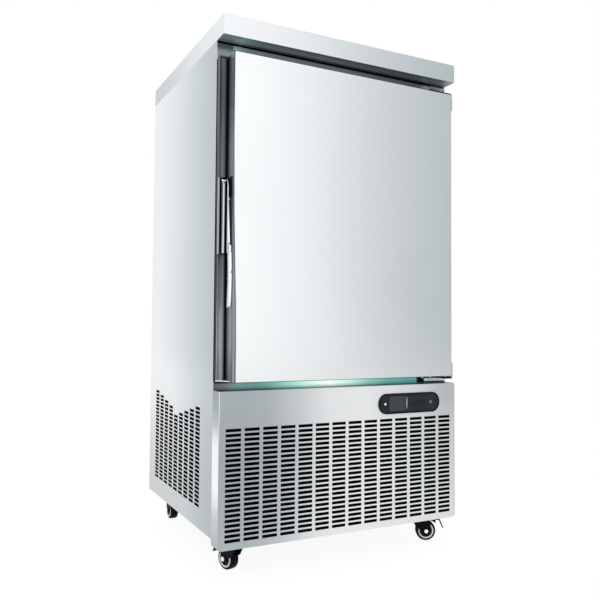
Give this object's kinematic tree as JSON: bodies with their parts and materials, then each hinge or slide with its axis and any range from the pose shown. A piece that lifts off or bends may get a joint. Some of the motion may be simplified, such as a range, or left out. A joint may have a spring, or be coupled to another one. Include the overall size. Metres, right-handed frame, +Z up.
{
  "type": "upright blast chiller",
  "caption": "Free-standing upright blast chiller with one insulated door, a lever latch, a louvred machine compartment below, a control panel and swivel casters.",
  "frame": {"origin": "middle of the footprint, on the floor under the casters", "axes": "+Z up, the door faces -Y, +X to the right seen from the front"},
  "size_m": [0.8, 0.72, 1.541],
  "materials": {
    "stainless": "fine brushed",
    "inner_stainless": "satin",
    "galvanised": "dull zinc coated",
    "zinc": "bright zinc plated",
    "caster_steel": "black coated",
    "black_paint": "satin black paint",
    "grey_paint": "grey paint",
    "chrome": "polished",
    "copper": "drawn copper tube",
    "fin_aluminium": "mill finish fins",
    "rubber": "matte",
    "gasket_rubber": "matte",
    "tyre": "matte rubber",
    "foam": "cut foam",
    "black_plastic": "moulded black",
    "key_plastic": "fine matte",
    "white_plastic": "moulded white",
    "grey_plastic": "moulded grey",
    "fan_plastic": "moulded black",
    "display": "smoked lens"
  },
  "bodies": {
    "cabinet": {"base_frame": "galvanised", "base_pan": "galvanised", "left_side_panel": "stainless", "right_side_panel": "stainless", "back_panel": "galvanised", "rear_cover": "galvanised", "top_cap": "stainless", "inner_liner": "inner_stainless", "cabinet_insulation": "foam", "face_frame": "stainless", "lower_front_panel": "stainless", "control_bezel": "black_plastic", "display_window": "display", "control_pad": "key_plastic", "electric_box": "grey_paint", "left_tray_rack": "inner_stainless", "right_tray_rack": "inner_stainless", "fan_baffle": "inner_stainless", "evaporator_motors": "black_paint", "evaporator_coil": "fin_aluminium", "drip_tray": "inner_stainless", "compressor": "black_paint", "compressor_feet": "rubber", "condenser_coil": "fin_aluminium", "condenser_shroud": "galvanised", "condenser_motor": "black_paint", "liquid_receiver": "black_paint", "filter_drier": "copper", "refrigerant_pipes": "copper", "panel_screws": "zinc", "hinge_brackets": "stainless", "latch_keeper": "zinc", "caster_plates": "zinc"},
    "door": {"door_outer_pan": "stainless", "door_frame": "stainless", "door_insulation": "foam", "door_inner_liner": "inner_stainless", "door_gasket": "gasket_rubber", "grip_rail": "stainless", "rail_end_caps": "white_plastic", "hinge_blocks": "grey_plastic", "latch_cover": "chrome", "latch_backplate": "black_plastic"},
    "latch_handle": {"latch_lever": "chrome", "latch_hook": "zinc"},
    "power_button": {"power_button": "white_plastic"},
    "mode_button": {"mode_button": "white_plastic"},
    "upper_evaporator_fan": {"upper_evaporator_fan": "fan_plastic"},
    "lower_evaporator_fan": {"lower_evaporator_fan": "fan_plastic"},
    "condenser_fan": {"condenser_fan": "fan_plastic"},
    "front_left_swivel": {"front_left_fork": "caster_steel"},
    "front_left_wheel": {"front_left_wheel": "tyre"},
    "front_right_swivel": {"front_right_fork": "caster_steel"},
    "front_right_wheel": {"front_right_wheel": "tyre"},
    "rear_left_swivel": {"rear_left_fork": "caster_steel"},
    "rear_left_wheel": {"rear_left_wheel": "tyre"},
    "rear_right_swivel": {"rear_right_fork": "caster_steel"},
    "rear_right_wheel": {"rear_right_wheel": "tyre"},
    "front_left_brake": {"front_left_brake": "caster_steel"},
    "front_right_brake": {"front_right_brake": "caster_steel"}
  },
  "joints": [
    {"name": "door_hinge", "type": "hinge", "parent": "cabinet", "child": "door", "pos_m": [0.388, -0.33, 0.9835], "axis": [0, 0, 1], "range_deg": [0, 120]},
    {"name": "latch_pull", "type": "hinge", "parent": "door", "child": "latch_handle", "pos_m": [-0.38, -0.334, 1.03], "axis": [-1, 0, 0], "range_deg": [0, 30]},
    {"name": "power_press", "type": "slide", "parent": "cabinet", "child": "power_button", "axis": [0, 1, 0], "range_m": [0, 0.0015], "stiffness_N_per_m": 400, "springref_m": -0.0005},
    {"name": "mode_press", "type": "slide", "parent": "cabinet", "child": "mode_button", "axis": [0, 1, 0], "range_m": [0, 0.0015], "stiffness_N_per_m": 400, "springref_m": -0.0005},
    {"name": "upper_fan_spin", "type": "hinge", "parent": "cabinet", "child": "upper_evaporator_fan", "pos_m": [0, 0.168, 1.17536], "axis": [0, 1, 0], "continuous": true},
    {"name": "lower_fan_spin", "type": "hinge", "parent": "cabinet", "child": "lower_evaporator_fan", "pos_m": [0, 0.168, 0.79264], "axis": [0, 1, 0], "continuous": true},
    {"name": "condenser_fan_spin", "type": "hinge", "parent": "cabinet", "child": "condenser_fan", "pos_m": [-0.15, -0.166, 0.3095], "axis": [0, 1, 0], "continuous": true},
    {"name": "front_left_swivel", "type": "hinge", "parent": "cabinet", "child": "front_left_swivel", "pos_m": [-0.324, -0.258, 0.084], "axis": [0, 0, 1], "continuous": true},
    {"name": "front_left_roll", "type": "hinge", "parent": "front_left_swivel", "child": "front_left_wheel", "pos_m": [-0.32956, -0.24088, 0.0315], "axis": [-0.9511, -0.309, 0], "continuous": true},
    {"name": "front_right_swivel", "type": "hinge", "parent": "cabinet", "child": "front_right_swivel", "pos_m": [0.324, -0.258, 0.084], "axis": [0, 0, 1], "continuous": true},
    {"name": "front_right_roll", "type": "hinge", "parent": "front_right_swivel", "child": "front_right_wheel", "pos_m": [0.34004, -0.26617, 0.0315], "axis": [0.454, 0.891, 0], "continuous": true},
    {"name": "rear_left_swivel", "type": "hinge", "parent": "cabinet", "child": "rear_left_swivel", "pos_m": [-0.324, 0.308, 0.084], "axis": [0, 0, 1], "continuous": true},
    {"name": "rear_left_roll", "type": "hinge", "parent": "rear_left_swivel", "child": "rear_left_wheel", "pos_m": [-0.324, 0.326, 0.0315], "axis": [-1, 0, 0], "continuous": true},
    {"name": "rear_right_swivel", "type": "hinge", "parent": "cabinet", "child": "rear_right_swivel", "pos_m": [0.324, 0.308, 0.084], "axis": [0, 0, 1], "continuous": true},
    {"name": "rear_right_roll", "type": "hinge", "parent": "rear_right_swivel", "child": "rear_right_wheel", "pos_m": [0.32866, 0.32539, 0.0315], "axis": [-0.9659, 0.2588, 0], "continuous": true},
    {"name": "front_left_brake_press", "type": "hinge", "parent": "front_left_swivel", "child": "front_left_brake", "pos_m": [-0.33018, -0.23898, 0.07], "axis": [-0.9511, -0.309, 0], "range_deg": [0, 12]},
    {"name": "front_right_brake_press", "type": "hinge", "parent": "front_right_swivel", "child": "front_right_brake", "pos_m": [0.34182, -0.26708, 0.07], "axis": [0.454, 0.891, 0], "range_deg": [0, 12]}
  ]
}
